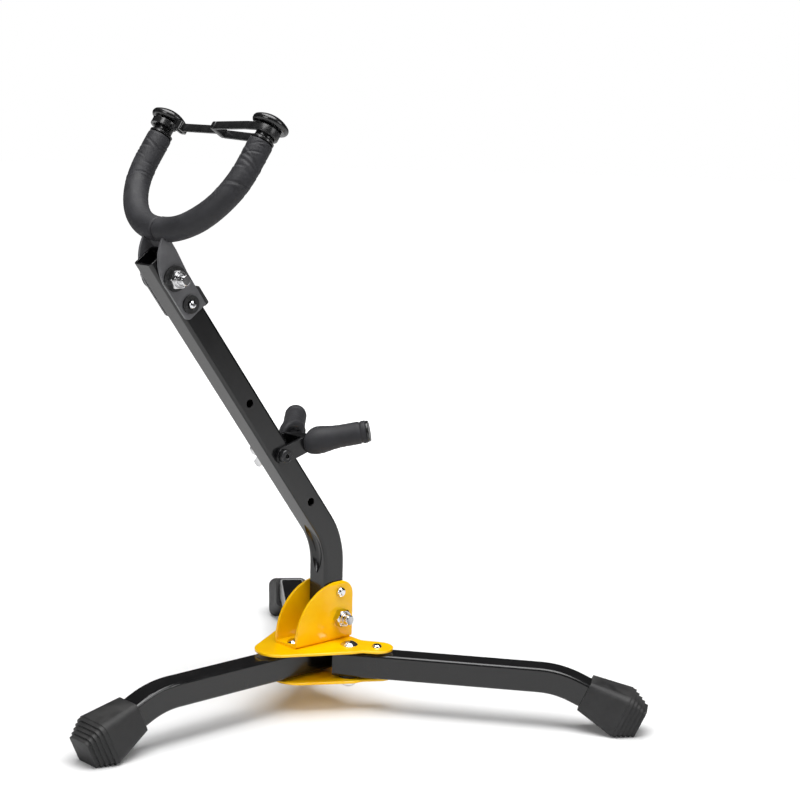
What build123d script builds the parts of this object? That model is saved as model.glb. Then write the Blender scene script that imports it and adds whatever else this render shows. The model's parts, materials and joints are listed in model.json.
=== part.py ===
from build123d import *
import os
from math import sin, cos, tan, asin, radians

os.makedirs("parts", exist_ok=True)

# Folding floor stand for a saxophone. Millimetres, +Z up, floor at z = 0.
# The instrument hangs on the -Y side, the fixed leg points to +Y.

hub_y = -42.0            # the mast's lower section stands here along Y
tube_size = 20.0         # outside of every square tube
tube_wall = 1.5
tube_corner = 2.5
sheet = 2.0              # gauge of plates and brackets
washer_gap = 2.0         # nylon washers between the legs and the top plate
low_gap = 2.0            # and between the legs and the bottom plate
run = 0.05               # radial running clearance of pivots

# Heights of the hub stack
leg_bottom = 29.0
leg_top = leg_bottom + tube_size
leg_mid = leg_bottom + tube_size / 2
top_under = leg_top + washer_gap
top_face = top_under + sheet
low_face = leg_bottom - low_gap
low_under = low_face - sheet
flange_face = top_face + sheet

# Legs
pivot_x = 28.0           # pivots of the two folding legs
pivot_y = -1.0
leg_spread = 53.5        # angle between a folding leg and straight ahead (-Y)
leg_slope = 24.0         # how far the leg's end points down
leg_bend_radius = 70.0
sole_start = 210.7       # from the pivot to the near edge of the sole
button_reach = 22.4      # from the pivot to the lock button
rivet_r = 3.0
button_r = 4.0

# Rubber feet
collar_size = 25.5
foot_size = 36.0
foot_body = 32.0
foot_steps = 5
foot_nose = 16.0

# Mast
bend_angle = 36.3        # lean of the upper section
bend_height = 134.0      # where the two mast axes cross
bend_radius = 58.0
mast_foot = 58.2         # lower end of the mast
mast_length = 290.5      # from the bend point to the open top end
fold_pivot_y = -4.2
fold_pivot_z = 71.3
fold_lock_y = -3.6
fold_lock_z = 92.5
bolt_r = 4.0

# Positions along the upper mast, from the bend point
rest_holes = [44.3, 95.0, 149.0]
rest_t = rest_holes[1]
yoke_pivot_t = 271.0
yoke_lock_t = 247.0

# Yoke
yoke_half = 60.0         # half the distance between the two arms
yoke_lean = 34.0         # forward lean of the U from vertical
arm_height = 77.0        # sleeve top above the centre of the U's base
rod_r = 5.0
sleeve_r = 9.25
base_t = 300.8           # centre of the U's base along and in front of the mast
base_s = 17.8
strap_height = 85.0

# Lower rest
strap_tilt = 16.0        # rise of the clevis towards the front
rest_rise = 17.5         # rise of the padded arms
clevis_reach = 29.0
clevis_width = 13.0
rest_bolt_r = 3.0
arm_end_x = 43.0
arm_end_f = 31.3

sides = {"left": -1, "right": 1}


def hub_point(x, y, z):
    return Vector(x, hub_y + y, z)


# Frames of reference
lean = radians(bend_angle)
mast_dir = Vector(0, sin(lean), cos(lean))
front_dir = Vector(0, -cos(lean), sin(lean))
bend_point = hub_point(0, 0, bend_height)
mast_side = Plane(origin=bend_point, x_dir=mast_dir, z_dir=(1, 0, 0))
hub_side = Plane(origin=hub_point(0, 0, 0), x_dir=(0, 1, 0), z_dir=(1, 0, 0))


def on_mast(t, s, x=0):
    return bend_point + mast_dir * t + front_dir * s + Vector(x, 0, 0)


def cross_plane(t, s, x):
    """A plane across the mast at x, normal along +X."""
    return Plane(origin=on_mast(t, s, x), x_dir=mast_dir, z_dir=(1, 0, 0))


# Hub plates
leg_dirs = {}
for side, sign in sides.items():
    spread = radians(leg_spread)
    leg_dirs[side] = Vector(sign * sin(spread), -cos(spread), 0)

rivet_ys = [14.0, 33.0]


def ear_place(angle, reach):
    return pivot_x + reach * sin(radians(angle)), pivot_y - reach * cos(radians(angle))


def hub_plate(z, ear_centre, ear_r, waist_r, waist_y, lobe_r, lobe_y):
    """A plate with two ears by the folding legs and a round lobe behind."""
    base = Plane(origin=hub_point(0, 0, z))
    ear_x, ear_y = ear_centre
    with BuildPart() as plate:
        with BuildSketch(base) as outline:
            with Locations((pivot_x, waist_y), (-pivot_x, waist_y)):
                Circle(waist_r)
            with Locations((0, lobe_y)):
                Circle(lobe_r)
            make_hull()
            for sign in (-1, 1):
                with BuildSketch(mode=Mode.PRIVATE) as ear:
                    with Locations((sign * ear_x, ear_y)):
                        Circle(ear_r)
                    with Locations((sign * pivot_x, pivot_y)):
                        Circle(waist_r * 0.78)
                    make_hull()
                add(ear.sketch)
            offset(amount=7, kind=Kind.ARC)
            offset(amount=-7, kind=Kind.ARC)
        extrude(amount=sheet)
        with Locations(base):
            with Locations((ear_x, ear_y), (-ear_x, ear_y)):
                Cylinder(button_r + 0.2, 10, mode=Mode.SUBTRACT)
            with Locations((pivot_x, pivot_y), (-pivot_x, pivot_y)):
                Cylinder(rivet_r, 10, mode=Mode.SUBTRACT)
            with Locations(*[(0, y) for y in rivet_ys]):
                Cylinder(rivet_r, 10, mode=Mode.SUBTRACT)
        chamfer(plate.faces().sort_by(Axis.Z)[-1].outer_wire().edges(), length=0.4)
    return plate.part


top_ear = ear_place(leg_spread, button_reach)
top_plate = hub_plate(top_under, top_ear, 13.0, 18.0, 1.5, 20.5, 46.5)
top_plate.label = "top_plate"
export_step(top_plate, "parts/top_plate.step")

# The lower plate's ears stand nearer the front, its lobe is wider and shorter
low_ear = ear_place(33.4, 24.5)
bottom_plate = hub_plate(low_under, low_ear, 10.0, 13.5, -0.5, 22.5, 27.0)
bottom_plate.label = "bottom_plate"
export_step(bottom_plate, "parts/bottom_plate.step")

# Mast bracket
cheek_out = 12.95
cheek_in = cheek_out - sheet
cheek_front = -17.0
cheek_back = 41.3
cheek_top = top_face + 48.0
cheek_corner = 12.0

with BuildPart() as mast_bracket:
    with BuildSketch(Plane(origin=hub_point(0, -30, 0), x_dir=(-1, 0, 0), z_dir=(0, 1, 0))) as channel:
        with Locations((0, (top_face + cheek_top) / 2)):
            Rectangle(2 * cheek_out, cheek_top - top_face)
        fillet(channel.vertices().group_by(Axis.Z)[0], radius=2.8)
        with Locations((0, (flange_face + cheek_top) / 2 + 5)):
            RectangleRounded(2 * cheek_in, cheek_top - flange_face + 10, 1.0, mode=Mode.SUBTRACT)
    extrude(amount=90)
    with BuildSketch(hub_side) as cheek:
        with BuildLine():
            Polyline(
                (cheek_back, top_face + 4),
                (cheek_back, top_face),
                (cheek_front, top_face),
                (cheek_front, cheek_top - cheek_corner),
            )
            knee = (cheek_front + cheek_corner, cheek_top)
            mid = (cheek_front + cheek_corner * 0.293, cheek_top - cheek_corner * 0.293)
            ThreePointArc((cheek_front, cheek_top - cheek_corner), mid, knee)
            ThreePointArc(knee, (29.3, top_face + 34.2), (cheek_back, top_face + 4))
        make_face()
    extrude(amount=30, both=True, mode=Mode.INTERSECT)
    with Locations(Plane(origin=hub_point(0, fold_pivot_y, fold_pivot_z), z_dir=(1, 0, 0))):
        Cylinder(bolt_r, 60, mode=Mode.SUBTRACT)
    with Locations(Plane(origin=hub_point(-cheek_out, fold_lock_y, fold_lock_z), z_dir=(1, 0, 0))):
        Cylinder(button_r + 0.1, 10, mode=Mode.SUBTRACT)
    with Locations(*[hub_point(0, y, top_face) for y in rivet_ys]):
        Cylinder(rivet_r, 12, mode=Mode.SUBTRACT)
mast_bracket.part.label = "mast_bracket"
export_step(mast_bracket.part, "parts/mast_bracket.step")


def dome_mid(base_r, height):
    """Half-way point (r, z) of a spherical dome's arc, from its rim to its top."""
    ball = (base_r ** 2 + height ** 2) / (2 * height)
    half = asin(base_r / ball) / 2
    return ball * sin(half), ball * cos(half) - (ball - height)


def rivet(x, y, head_z, tail_z, head_r, head_h, foot_h):
    """A domed rivet seen from the side, turned about its own axis."""
    foot_r = head_r * 0.8
    round_h = 2.2
    neck_z = tail_z - foot_h + round_h
    head_mid = dome_mid(head_r, head_h)
    foot_mid = dome_mid(foot_r, round_h)
    with BuildPart() as pin:
        with BuildSketch(Plane(origin=hub_point(x, y, 0), x_dir=(1, 0, 0), z_dir=(0, -1, 0))):
            with BuildLine():
                Line((0, head_z + head_h), (0, tail_z - foot_h))
                ThreePointArc((0, tail_z - foot_h), (foot_mid[0], neck_z - foot_mid[1]), (foot_r, neck_z))
                Polyline(
                    (foot_r, neck_z), (foot_r, tail_z), (rivet_r, tail_z), (rivet_r, head_z), (head_r, head_z)
                )
                ThreePointArc((head_r, head_z), (head_mid[0], head_z + head_mid[1]), (0, head_z + head_h))
            make_face()
        revolve(axis=Axis(hub_point(x, y, 0), (0, 0, 1)))
    return pin.part


bracket_rivets = Compound(
    children=[rivet(0, y, flange_face, low_under, 5.6, 2.6, 5.0) for y in rivet_ys]
)
bracket_rivets.label = "bracket_rivets"
export_step(bracket_rivets, "parts/bracket_rivets.step")

leg_rivets = Compound(
    children=[rivet(s * pivot_x, pivot_y, top_face, low_under, 7.0, 3.0, 6.5) for s in (-1, 1)]
)
leg_rivets.label = "leg_rivets"
export_step(leg_rivets, "parts/leg_rivets.step")

washers = []
for sign in (-1, 1):
    for z, gap in ((low_face, low_gap), (leg_top, washer_gap)):
        with BuildPart() as washer:
            with Locations(hub_point(sign * pivot_x, pivot_y, z + gap / 2)):
                Cylinder(8.0, gap - 0.06)
                Cylinder(rivet_r, gap, mode=Mode.SUBTRACT)
        washers.append(washer.part)
leg_washers = Compound(children=washers)
leg_washers.label = "leg_washers"
export_step(leg_washers, "parts/leg_washers.step")

# Legs
slope = radians(leg_slope)
crown_t = sole_start + foot_size / 2 * sin(slope)
crown_z = foot_size / 2 * cos(slope)
collar_t = crown_t - foot_body * cos(slope)
collar_z = crown_z + foot_body * sin(slope)
knee_t = collar_t - (leg_mid - collar_z) / tan(slope)
sock_depth = 22.0
tail_t = collar_t + sock_depth * cos(slope)
tail_z = collar_z - sock_depth * sin(slope)


def leg_tube(origin, along, start_t, holes):
    """A square tube that runs level from start_t, then bends down into its foot."""
    side_plane = Plane(origin=origin, x_dir=along, z_dir=(along.Y, -along.X, 0))
    with BuildPart() as leg:
        with BuildLine(side_plane) as path:
            FilletPolyline(
                (start_t, leg_mid), (knee_t, leg_mid), (tail_t, tail_z), radius=leg_bend_radius
            )
        start = Plane(origin=path.line @ 0, x_dir=(0, 0, 1), z_dir=path.line % 0)
        with BuildSketch(start):
            RectangleRounded(tube_size, tube_size, tube_corner)
            inner = tube_size - 2 * tube_wall
            RectangleRounded(inner, inner, tube_corner - tube_wall, mode=Mode.SUBTRACT)
        sweep()
        for t, radius, depth in holes:
            with Locations(origin + along * t + Vector(0, 0, leg_top)):
                Cylinder(radius, depth, mode=Mode.SUBTRACT)
    return leg.part


def rubber_foot(origin, along):
    """A slip-on cap that flares from its collar and steps in again to a small end face."""
    axis = Vector(along.X * cos(slope), along.Y * cos(slope), -sin(slope))
    collar = origin + along * collar_t + Vector(0, 0, collar_z)
    base = Plane(origin=collar, x_dir=(along.Y, -along.X, 0), z_dir=axis)
    step = foot_nose / foot_steps
    with BuildPart() as foot:
        with BuildSketch(base):
            RectangleRounded(collar_size, collar_size, 4.0)
        with BuildSketch(base.offset(foot_body)):
            RectangleRounded(foot_size, foot_size, 7.0)
        loft()
        for i in range(foot_steps):
            size = foot_size - 2 * tan(slope) * step * (i + 0.35)
            with BuildSketch(base.offset(foot_body + step * i)):
                RectangleRounded(size, size, 6.5 - 0.7 * i)
            extrude(amount=step)
        with BuildSketch(base):
            inner = tube_size + 0.1
            RectangleRounded(inner, inner, tube_corner)
        extrude(amount=sock_depth + 0.5, mode=Mode.SUBTRACT)
        with Locations(origin + along * crown_t + Vector(0, 0, -20)):
            Box(160, 160, 40, mode=Mode.SUBTRACT)
    return foot.part


back_origin = hub_point(0, -1.8, 0)
back_dir = Vector(0, 1, 0)
through = 2 * tube_size + 10
rivet_cuts = [(y + 1.8, rivet_r, through + 10) for y in rivet_ys]
back_leg = leg_tube(back_origin, back_dir, 2.0, rivet_cuts)
back_leg.label = "back_leg"
export_step(back_leg, "parts/back_leg.step")

back_foot = rubber_foot(back_origin, back_dir)
back_foot.label = "back_foot"
export_step(back_foot, "parts/back_foot.step")

for side, sign in sides.items():
    origin = hub_point(sign * pivot_x, pivot_y, 0)
    along = leg_dirs[side]
    cuts = [(0, rivet_r + run, through), (button_reach, button_r + 0.1, 12)]
    leg = leg_tube(origin, along, -11.5, cuts)
    leg.label = side + "_leg"
    export_step(leg, "parts/" + side + "_leg.step")

    foot = rubber_foot(origin, along)
    foot.label = side + "_foot"
    export_step(foot, "parts/" + side + "_foot.step")

    seat = origin + along * button_reach
    with BuildPart() as button:
        with Locations(seat + Vector(0, 0, 50.0)):
            Cylinder(button_r, 10.0)
        with Locations(seat + Vector(0, 0, 45.4)):
            Cylinder(5.4, 0.8)
        fillet(button.edges().filter_by(GeomType.CIRCLE).sort_by(Axis.Z)[-1], radius=2.4)
    button.part.label = side + "_leg_button"
    export_step(button.part, "parts/" + side + "_leg_button.step")

    with BuildPart() as spring:
        with BuildLine(Plane(origin=origin, x_dir=along, z_dir=(along.Y, -along.X, 0))) as path:
            FilletPolyline((14.5, 44.5), (58, 44.5), (62, 31.2), (30, 31.2), radius=2.5)
        start = Plane(origin=path.line @ 0, x_dir=(0, 0, 1), z_dir=path.line % 0)
        with BuildSketch(start):
            Rectangle(0.8, 9)
        sweep()
    spring.part.label = side + "_leg_spring"
    export_step(spring.part, "parts/" + side + "_leg_spring.step")

# Mast
mast_path_points = [
    hub_point(0, 0, mast_foot),
    bend_point,
    on_mast(mast_length, 0),
]


def mast_sweep(size, corner):
    with BuildPart() as body:
        with BuildLine() as path:
            FilletPolyline(*mast_path_points, radius=bend_radius)
        with BuildSketch(Plane(origin=path.line @ 0, x_dir=(1, 0, 0), z_dir=(0, 0, 1))):
            RectangleRounded(size, size, corner)
        sweep()
    return body.part


# The press tool leaves a long shallow dish in the inner side of the bend.
half_lean = lean / 2
dent_dir = Vector(0, sin(half_lean), cos(half_lean))
dent_out = Vector(0, cos(half_lean), -sin(half_lean))
bend_sag = bend_radius * (1 / cos(half_lean) - 1)
dent_centre = bend_point + dent_out * (tube_size / 2 + bend_sag)


def dish(half_length, radius, shift):
    """A spindle lying along the bend, its axis outside the tube by shift."""
    centre = dent_centre + dent_out * shift
    with BuildPart() as body:
        with BuildSketch(Plane(origin=centre, x_dir=dent_dir, z_dir=(1, 0, 0))):
            with BuildLine():
                ThreePointArc((-half_length, 0), (0, radius), (half_length, 0))
                Line((half_length, 0), (-half_length, 0))
            make_face()
        revolve(axis=Axis(centre, dent_dir))
    return body.part


cavity = mast_sweep(tube_size - 2 * tube_wall, tube_corner - tube_wall)
cavity = cavity - dish(25.0, 10.4, 5.6)
mast_solid = mast_sweep(tube_size, tube_corner)

with BuildPart() as mast_tube:
    add(mast_solid)
    add(cavity, mode=Mode.SUBTRACT)
    add(dish(23.0, 8.8, 5.6), mode=Mode.SUBTRACT)
    for t in rest_holes:
        with Locations(cross_plane(t, 0, 0)):
            Cylinder(3.25, 60, mode=Mode.SUBTRACT)
    with Locations(cross_plane(yoke_pivot_t, 0, 0)):
        Cylinder(bolt_r + run, 60, mode=Mode.SUBTRACT)
    with Locations(cross_plane(yoke_lock_t, 0, -tube_size / 2)):
        Cylinder(3.1, 8, mode=Mode.SUBTRACT)
    with Locations(Plane(origin=hub_point(0, fold_pivot_y, fold_pivot_z), z_dir=(1, 0, 0))):
        Cylinder(bolt_r + run, 60, mode=Mode.SUBTRACT)
    with Locations(Plane(origin=hub_point(-tube_size / 2, fold_lock_y, fold_lock_z), z_dir=(1, 0, 0))):
        Cylinder(button_r + 0.1, 8, mode=Mode.SUBTRACT)
    # the lower end is rounded off behind the pivot so that it clears the flange
    with BuildSketch(hub_side):
        with Locations((fold_pivot_y + 15, fold_pivot_z - 15)):
            Rectangle(30, 30)
        with Locations((fold_pivot_y, fold_pivot_z)):
            Circle(15.2, mode=Mode.SUBTRACT)
    extrude(amount=30, both=True, mode=Mode.SUBTRACT)
mast_tube.part.label = "mast_tube"
export_step(mast_tube.part, "parts/mast_tube.step")


def hex_head(place, across, height):
    """A hexagon head or nut with its corners turned off, standing along +Z of place."""
    corner = across * 0.577
    profile = Plane(origin=place.origin, x_dir=place.x_dir, z_dir=-place.y_dir)
    with BuildPart() as head:
        with BuildSketch(place):
            RegularPolygon(across / 2, 6, major_radius=False)
        extrude(amount=height)
        with BuildSketch(profile):
            Polygon(
                (0, 0), (corner, 0), (corner, height - 0.7), (corner - 1.3, height), (0, height),
                align=None,
            )
        revolve(axis=Axis(place.origin, place.z_dir), mode=Mode.INTERSECT)
    return head.part


def hex_bolt(centre, half_gap, radius, across, head_h, tail):
    """A hex bolt lying along X, head on the +X side, its thread running out at -X."""
    head_place = Plane(origin=centre + Vector(half_gap, 0, 0), x_dir=(0, 1, 0), z_dir=(1, 0, 0))
    with BuildPart() as bolt:
        add(hex_head(head_place, across, head_h))
        length = 2 * half_gap + tail
        with Locations(Plane(origin=centre + Vector(-tail / 2, 0, 0), z_dir=(1, 0, 0))):
            Cylinder(radius, length)
        chamfer(bolt.edges().filter_by(GeomType.CIRCLE).sort_by(Axis.X)[0], length=0.6)
    return bolt.part


def hex_nut(centre, half_gap, radius, across, height):
    """A nut with a domed collar on the -X side."""
    place = Plane(origin=centre + Vector(-half_gap, 0, 0), x_dir=(0, 1, 0), z_dir=(-1, 0, 0))
    with BuildPart() as nut:
        add(hex_head(place, across, height))
        with BuildSketch(place.offset(height)):
            Circle(across * 0.4)
        extrude(amount=1.8, taper=12)
        with Locations(place.offset(height / 2)):
            Cylinder(radius, height * 3, mode=Mode.SUBTRACT)
    return nut.part


def thin_washer(x_mid, centre, inner_r, outer_r, thick):
    with BuildPart() as ring:
        with Locations(Plane(origin=Vector(x_mid, centre.Y, centre.Z), z_dir=(1, 0, 0))):
            Cylinder(outer_r, thick)
            Cylinder(inner_r, thick * 2, mode=Mode.SUBTRACT)
    return ring.part


fold_centre = hub_point(0, fold_pivot_y, fold_pivot_z)
fold_bolt = hex_bolt(fold_centre, cheek_out, bolt_r, 13.0, 5.3, 12.2)
fold_bolt.label = "mast_pivot_bolt"
export_step(fold_bolt, "parts/mast_pivot_bolt.step")

fold_nut = hex_nut(fold_centre, cheek_out, bolt_r, 13.0, 5.8)
fold_nut.label = "mast_pivot_nut"
export_step(fold_nut, "parts/mast_pivot_nut.step")

gap_mid = (cheek_in + tube_size / 2) / 2
gap_wide = cheek_in - tube_size / 2 - 0.06
fold_washers = Compound(
    children=[thin_washer(s * gap_mid, fold_centre, bolt_r + run, 8.5, gap_wide) for s in (-1, 1)]
)
fold_washers.label = "mast_pivot_washers"
export_step(fold_washers, "parts/mast_pivot_washers.step")


def side_button(centre, radius, outer_x, inner_x):
    """A spring button lying along X with its rounded end at -X."""
    with BuildPart() as pin:
        with Locations(Plane(origin=centre + Vector((outer_x + inner_x) / 2, 0, 0), z_dir=(1, 0, 0))):
            Cylinder(radius, inner_x - outer_x)
        with Locations(Plane(origin=centre + Vector(inner_x - 0.4, 0, 0), z_dir=(1, 0, 0))):
            Cylinder(radius + 0.8, 0.8)
        tip = pin.edges().filter_by(GeomType.CIRCLE).sort_by(Axis.X)[0]
        fillet(tip, radius=radius * 0.6)
    return pin.part


mast_button = side_button(hub_point(0, fold_lock_y, fold_lock_z), button_r, -16.4, -6.2)
mast_button.label = "mast_lock_button"
export_step(mast_button, "parts/mast_lock_button.step")

with BuildPart() as mast_spring:
    strip_origin = fold_centre + Vector(0, fold_lock_y - fold_pivot_y, 0)
    with BuildLine(Plane(origin=strip_origin, x_dir=(0, 0, 1), z_dir=(0, 1, 0))) as strip:
        FilletPolyline((13, -5.8), (40, -5.8), (44, 7.9), (18, 7.9), radius=2.5)
    with BuildSketch(Plane(origin=strip.line @ 0, x_dir=(1, 0, 0), z_dir=strip.line % 0)):
        Rectangle(0.8, 9)
    sweep()
mast_spring.part.label = "mast_lock_spring"
export_step(mast_spring.part, "parts/mast_lock_spring.step")

# Yoke bracket
yoke_centre = on_mast(yoke_pivot_t, 0)
ear_in = 10.65
ear_out = ear_in + sheet
tip_t = base_t + 1.5
tip_s = base_s - 4.2
web_t = base_t - 14.3    # lower edge of the web that joins the two cheeks

with BuildPart() as yoke_bracket:
    with BuildSketch(mast_side) as cheek:
        with BuildLine():
            Polyline(
                (268.0, -9.4),
                (238.0, -9.4),
                (238.0, 11.0),
                (268.0, 11.6),
                (286.0, 13.4),
                (base_t - 4.0, tip_s),
                (tip_t, tip_s),
            )
            ThreePointArc((tip_t, tip_s), (291.2, -2.4), (268.0, -9.4))
        make_face()
        fillet(cheek.vertices().group_by(Axis(mast_side.origin, mast_dir))[0], radius=4.0)
    extrude(amount=ear_out, both=True)
    with BuildSketch(mast_side):
        with Locations((265, 0)):
            Rectangle(120, 60)
    extrude(amount=ear_in, both=True, mode=Mode.SUBTRACT)
    with BuildSketch(mast_side):
        with Locations(((web_t + tip_t) / 2, tip_s - 1.2)):
            Rectangle(tip_t - web_t, 2.0)
    extrude(amount=ear_in + 0.5, both=True)
    with Locations(cross_plane(base_t, base_s, 0)):
        Cylinder(rod_r, 60, mode=Mode.SUBTRACT)
    with Locations(cross_plane(yoke_pivot_t, 0, 0)):
        Cylinder(bolt_r, 60, mode=Mode.SUBTRACT)
    with Locations(cross_plane(yoke_lock_t, 0, -ear_out)):
        Cylinder(3.1, 8, mode=Mode.SUBTRACT)
yoke_bracket.part.label = "yoke_bracket"
export_step(yoke_bracket.part, "parts/yoke_bracket.step")

ring_thick = 1.8
yoke_washers = Compound(
    children=[
        thin_washer(s * (ear_out + ring_thick / 2), yoke_centre, bolt_r, 9.4, ring_thick)
        for s in (-1, 1)
    ]
)
yoke_washers.label = "yoke_pivot_washers"
export_step(yoke_washers, "parts/yoke_pivot_washers.step")

yoke_seat = ear_out + ring_thick
yoke_bolt = hex_bolt(yoke_centre, yoke_seat, bolt_r, 13.0, 5.3, 12.8)
yoke_bolt.label = "yoke_pivot_bolt"
export_step(yoke_bolt, "parts/yoke_pivot_bolt.step")

yoke_nut = hex_nut(yoke_centre, yoke_seat, bolt_r, 13.0, 5.4)
yoke_nut.label = "yoke_pivot_nut"
export_step(yoke_nut, "parts/yoke_pivot_nut.step")

lock_centre = on_mast(yoke_lock_t, 0)
lock_ring = thin_washer(-ear_out - ring_thick / 2, lock_centre, 3.6, 6.8, ring_thick)
lock_ring.label = "yoke_lock_ring"
export_step(lock_ring, "parts/yoke_lock_ring.step")

yoke_button = side_button(lock_centre, 3.0, -17.0, -6.2)
yoke_button.label = "yoke_lock_button"
export_step(yoke_button, "parts/yoke_lock_button.step")

with BuildPart() as yoke_spring:
    with BuildLine(Plane(origin=on_mast(yoke_lock_t, 0), x_dir=-mast_dir, z_dir=-front_dir)) as strip:
        FilletPolyline((-7, -5.8), (28, -5.8), (32, 7.9), (4, 7.9), radius=2.5)
    with BuildSketch(Plane(origin=strip.line @ 0, x_dir=(1, 0, 0), z_dir=strip.line % 0)):
        Rectangle(0.8, 8)
    sweep()
yoke_spring.part.label = "yoke_lock_spring"
export_step(yoke_spring.part, "parts/yoke_lock_spring.step")

bumper_half = 10.2

# A rubber bumper on the front of the mast catches the folded yoke.
with BuildPart() as yoke_bumper:
    with BuildSketch(mast_side) as side_view:
        with Locations((244.0, 12.6)):
            RectangleRounded(16.0, 5.0, 1.2)
    extrude(amount=bumper_half, both=True)
yoke_bumper.part.label = "yoke_bumper"
export_step(yoke_bumper.part, "parts/yoke_bumper.step")

# Yoke
rise = radians(yoke_lean)
arm_dir = Vector(0, -sin(rise), cos(rise))
base_centre = on_mast(base_t, base_s)
u_plane = Plane(origin=base_centre, x_dir=(1, 0, 0), z_dir=Vector(1, 0, 0).cross(arm_dir))
yoke_bend = 57.0
rod_top = 91.0
neck_r = 7.0
knob_r = 13.8
knob_dome = 4.4
knob_mid = dome_mid(knob_r - 0.6, knob_dome)


def u_point(x, up, out=0):
    return u_plane.from_local_coords(Vector(x, up, out))


with BuildPart() as yoke_rod:
    with BuildLine(u_plane) as path:
        FilletPolyline(
            (-yoke_half, rod_top), (-yoke_half, 0), (yoke_half, 0), (yoke_half, rod_top),
            radius=yoke_bend,
        )
    with BuildSketch(Plane(origin=path.line @ 0, z_dir=path.line % 0)):
        Circle(rod_r)
    sweep()
yoke_rod.part.label = "yoke_rod"
export_step(yoke_rod.part, "parts/yoke_rod.step")

for side, sign in sides.items():
    with BuildPart() as sleeve:
        with BuildLine(u_plane) as path:
            FilletPolyline(
                (sign * 0.2, 0), (sign * yoke_half, 0), (sign * yoke_half, arm_height),
                radius=yoke_bend,
            )
        with BuildSketch(Plane(origin=path.line @ 0, z_dir=path.line % 0)):
            Circle(sleeve_r)
            Circle(rod_r + 0.05, mode=Mode.SUBTRACT)
        sweep()
        # a slit in the underside lets the bracket's cheeks reach the rod
        with BuildSketch(mast_side):
            with Locations((base_t, base_s - 10.0)):
                Rectangle(24, 20)
        extrude(amount=ear_out + 0.3, both=True, mode=Mode.SUBTRACT)
    sleeve.part.label = "yoke_" + side + "_sleeve"
    export_step(sleeve.part, "parts/yoke_" + side + "_sleeve.step")

    # flanged collar that closes the foam, then a mushroom knob on its neck
    arm_axis = Axis(u_point(sign * yoke_half, 0), arm_dir)
    arm_view = Plane(origin=u_point(sign * yoke_half, 0), x_dir=(1, 0, 0), z_dir=u_plane.z_dir)
    with BuildPart() as collar:
        with BuildSketch(arm_view):
            with BuildLine():
                Polyline(
                    (rod_r + 0.05, arm_height + 0.1),
                    (8.9, arm_height + 0.1),
                    (8.9, arm_height + 1.6),
                    (neck_r, arm_height + 2.9),
                    (rod_r + 0.05, arm_height + 2.9),
                    close=True,
                )
            make_face()
        revolve(axis=arm_axis)
    collar.part.label = "yoke_" + side + "_collar"
    export_step(collar.part, "parts/yoke_" + side + "_collar.step")

    with BuildPart() as knob:
        with BuildSketch(arm_view):
            with BuildLine():
                Polyline(
                    (0, rod_top + 0.1),
                    (rod_r + 0.05, rod_top + 0.1),
                    (rod_r + 0.05, arm_height + 3.0),
                    (neck_r, arm_height + 3.0),
                    (neck_r, 88.4),
                    (11.0, 88.8),
                )
                ThreePointArc((11.0, 88.8), (knob_r, 91.4), (knob_r - 0.6, 93.2))
                ThreePointArc(
                    (knob_r - 0.6, 93.2), (knob_mid[0], 93.2 + knob_mid[1]), (0, 93.2 + knob_dome)
                )
                Line((0, 93.2 + knob_dome), (0, rod_top + 0.1))
            make_face()
        revolve(axis=arm_axis)
    knob.part.label = "yoke_" + side + "_knob"
    export_step(knob.part, "parts/yoke_" + side + "_knob.step")

# Strap
strap_plane = Plane(
    origin=u_point(0, strap_height), x_dir=(1, 0, 0), z_dir=arm_dir
)
band_wide = 6.4          # the belt stands on edge, its width along the arms
band_thick = 2.4
joint_x = -7.0
band_end = 36.0
loop_r = neck_r + band_thick / 2 + 0.3

with BuildPart() as strap_band:
    # one belt doubled round the left neck
    with BuildLine(strap_plane) as loop:
        FilletPolyline(
            (joint_x - 1, loop_r * 0.66),
            (-yoke_half + 14, loop_r),
            (-yoke_half - loop_r, loop_r),
            (-yoke_half - loop_r, -loop_r),
            (-yoke_half + 14, -loop_r),
            (joint_x - 1, -loop_r * 0.66),
            radius=loop_r * 0.98,
        )
    with BuildSketch(Plane(origin=loop.line @ 0, x_dir=arm_dir, z_dir=loop.line % 0)):
        Rectangle(band_wide, band_thick)
    sweep()
    # the joint, then a single belt
    with Locations(strap_plane):
        with Locations((joint_x + 1, 0)):
            Box(5.0, 2 * loop_r * 0.66 + band_thick + 1.0, band_wide)
        with Locations(((joint_x + band_end) / 2, 0)):
            Box(band_end - joint_x, band_thick, band_wide)
strap_band.part.label = "strap_band"
export_step(strap_band.part, "parts/strap_band.step")

# A buckle that holds the belt's end and runs into a flat hook, open on the front side
hook_r = neck_r + 1.1 + 1.5
with BuildPart() as strap_hook:
    with BuildSketch(strap_plane):
        with Locations((band_end + 3.6, 0)):
            RectangleRounded(7.0, 9.0, 2.0)
            Rectangle(3.0, 5.0, mode=Mode.SUBTRACT)
    extrude(amount=band_wide / 2, both=True)
    with BuildLine(strap_plane) as hook_path:
        start_x = yoke_half - hook_r
        Line((start_x, -3.0), (start_x, 0.5))
        ThreePointArc((start_x, 0.5), (yoke_half, hook_r + 0.5), (yoke_half + hook_r, 0.5))
        Line((yoke_half + hook_r, 0.5), (yoke_half + hook_r, -3.0))
    with BuildSketch(Plane(origin=hook_path.line @ 0, x_dir=arm_dir, z_dir=hook_path.line % 0)):
        Rectangle(4.6, 2.2)
    sweep()
    with Locations(strap_plane):
        with Locations(((band_end + 7.0 + start_x) / 2, 0)):
            Box(start_x - band_end - 7.0, 3.4, 4.6)
strap_hook.part.label = "strap_hook"
export_step(strap_hook.part, "parts/strap_hook.step")

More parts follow.
